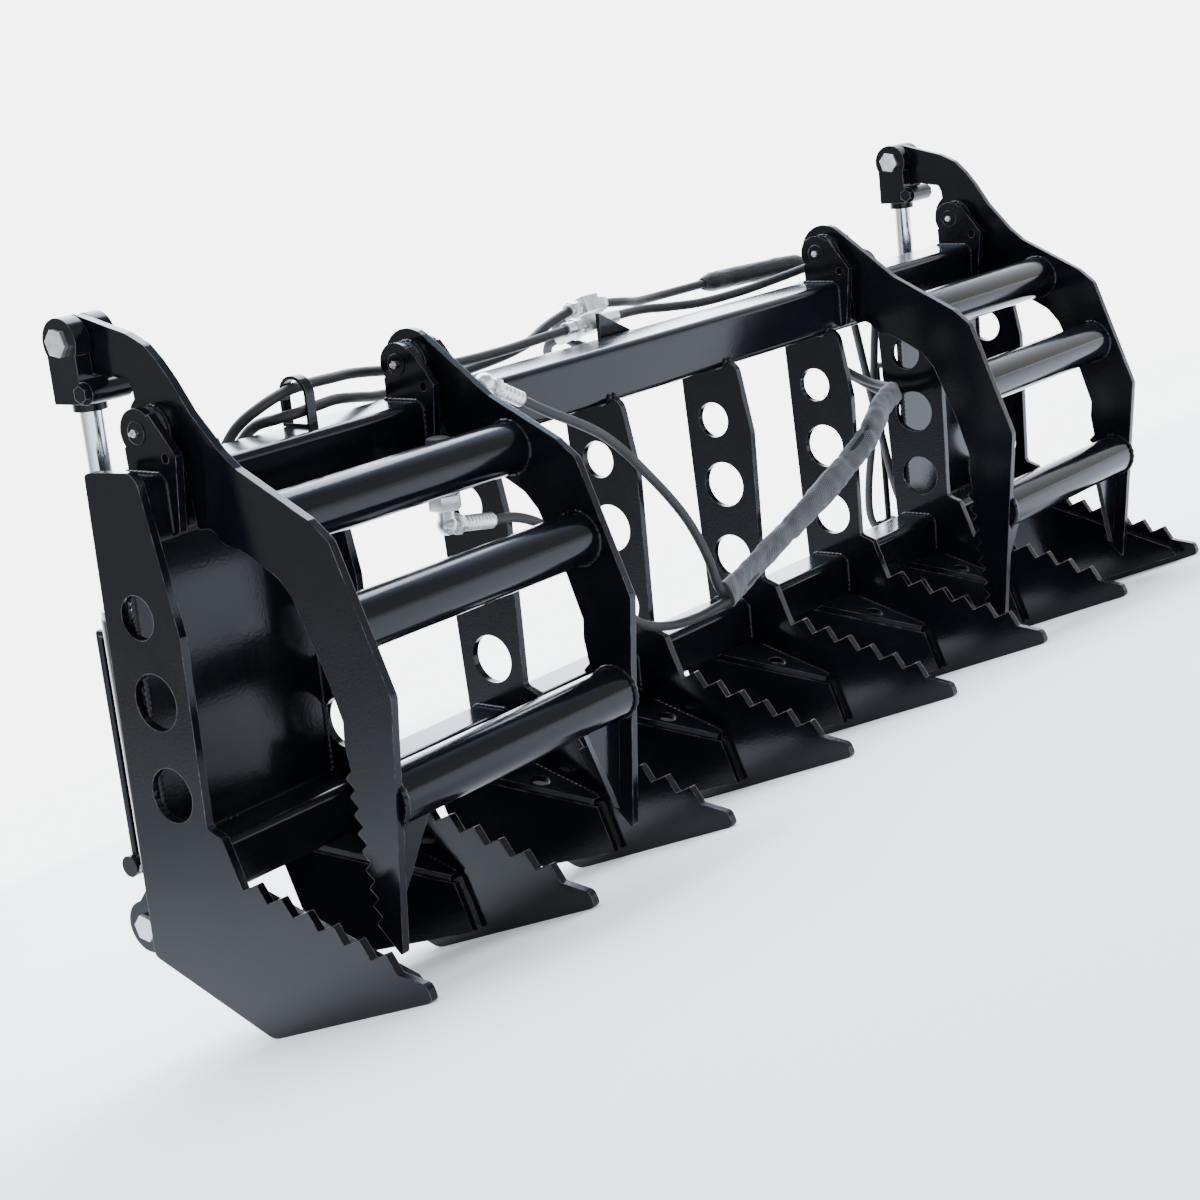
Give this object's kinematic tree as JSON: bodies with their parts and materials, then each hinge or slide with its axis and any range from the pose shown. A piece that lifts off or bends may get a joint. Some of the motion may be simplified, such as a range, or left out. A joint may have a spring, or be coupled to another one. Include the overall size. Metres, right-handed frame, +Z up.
{
  "type": "root grapple",
  "caption": "Root grapple: toothed tines on two cross tubes, with hydraulic clamps that open and close over them.",
  "frame": {"origin": "on the floor under the middle of the part's box, hoses not counted", "axes": "+X along the width to the right seen from the front, +Y from the toes to the carrier, +Z up"},
  "size_m": [1.83, 0.5146, 0.78],
  "materials": {
    "black_paint": "satin gloss",
    "zinc_plate": "zinc plated",
    "bright_steel": "machined",
    "rod_chrome": "polished",
    "hose_rubber": "matte",
    "shrink_wrap": "matte",
    "woven_sleeve": "woven",
    "cap_rubber": "matte"
  },
  "bodies": {
    "root": {"tine_1": "black_paint", "tine_2": "black_paint", "tine_3": "black_paint", "tine_4": "black_paint", "tine_5": "black_paint", "tine_6": "black_paint", "tine_7": "black_paint", "tine_8": "black_paint", "bottom_tube": "black_paint", "top_tube": "black_paint", "side_sheets": "black_paint", "brace_plates": "black_paint", "brace_skirts": "black_paint", "end_tine_doublers": "black_paint", "pivot_ears": "black_paint", "cylinder_lugs": "black_paint", "pivot_pins": "black_paint", "keeper_bolts": "black_paint", "grease_nipples": "zinc_plate", "base_pins": "zinc_plate", "hose_guide": "black_paint", "tee_bracket": "black_paint", "tee_fittings": "zinc_plate", "left_clamp_hoses": "hose_rubber", "right_clamp_hoses": "hose_rubber", "shrink_sleeve": "shrink_wrap", "hose_saddle": "black_paint", "coupler_clips": "black_paint", "supply_hose_upper": "hose_rubber", "supply_hose_lower": "hose_rubber", "woven_sleeve": "woven_sleeve", "couplers": "zinc_plate", "dust_caps": "cap_rubber"},
    "left_clamp": {"left_clamp_outer_plate": "black_paint", "left_clamp_inner_plate": "black_paint", "left_clamp_cross_tubes": "black_paint", "left_clamp_tip_webs": "black_paint", "left_clamp_bushes": "bright_steel"},
    "left_barrel": {"left_barrel": "black_paint", "left_gland": "bright_steel", "left_hard_line": "black_paint"},
    "left_rod": {"left_rod": "rod_chrome", "left_piston": "bright_steel", "left_clevis": "black_paint", "left_clevis_pins": "zinc_plate", "left_pinch_bolt": "black_paint"},
    "right_clamp": {"right_clamp_outer_plate": "black_paint", "right_clamp_inner_plate": "black_paint", "right_clamp_cross_tubes": "black_paint", "right_clamp_tip_webs": "black_paint", "right_clamp_bushes": "bright_steel"},
    "right_barrel": {"right_barrel": "black_paint", "right_gland": "bright_steel", "right_hard_line": "black_paint"},
    "right_rod": {"right_rod": "rod_chrome", "right_piston": "bright_steel", "right_clevis": "black_paint", "right_clevis_pins": "zinc_plate", "right_pinch_bolt": "black_paint"}
  },
  "joints": [
    {"name": "left_clamp_pivot", "type": "hinge", "parent": "root", "child": "left_clamp", "pos_m": [-0.846, -0.07927, 0.63303], "axis": [-1, 0, 0], "range_deg": [0, 75]},
    {"name": "left_barrel_swing", "type": "hinge", "parent": "root", "child": "left_barrel", "pos_m": [-0.846, 0.20273, 0.14699], "axis": [-1, 0, 0], "range_deg": [0, 1.79]},
    {"name": "left_rod_slide", "type": "slide", "parent": "left_barrel", "child": "left_rod", "axis": [0, 0.3394, -0.9407], "range_m": [0, 0.1654]},
    {"name": "right_clamp_pivot", "type": "hinge", "parent": "root", "child": "right_clamp", "pos_m": [0.846, -0.07927, 0.63303], "axis": [-1, 0, 0], "range_deg": [0, 75]},
    {"name": "right_barrel_swing", "type": "hinge", "parent": "root", "child": "right_barrel", "pos_m": [0.846, 0.20273, 0.14699], "axis": [-1, 0, 0], "range_deg": [0, 1.79]},
    {"name": "right_rod_slide", "type": "slide", "parent": "right_barrel", "child": "right_rod", "axis": [0, 0.3394, -0.9407], "range_m": [0, 0.1654]}
  ],
  "couplings": [
    {"joint": "left_barrel_swing", "follows": "left_clamp_pivot", "ratio": 0.02371},
    {"joint": "left_rod_slide", "follows": "left_clamp_pivot", "m_per_rad": 0.12616},
    {"joint": "right_barrel_swing", "follows": "right_clamp_pivot", "ratio": 0.02371},
    {"joint": "right_rod_slide", "follows": "right_clamp_pivot", "m_per_rad": 0.12616}
  ]
}
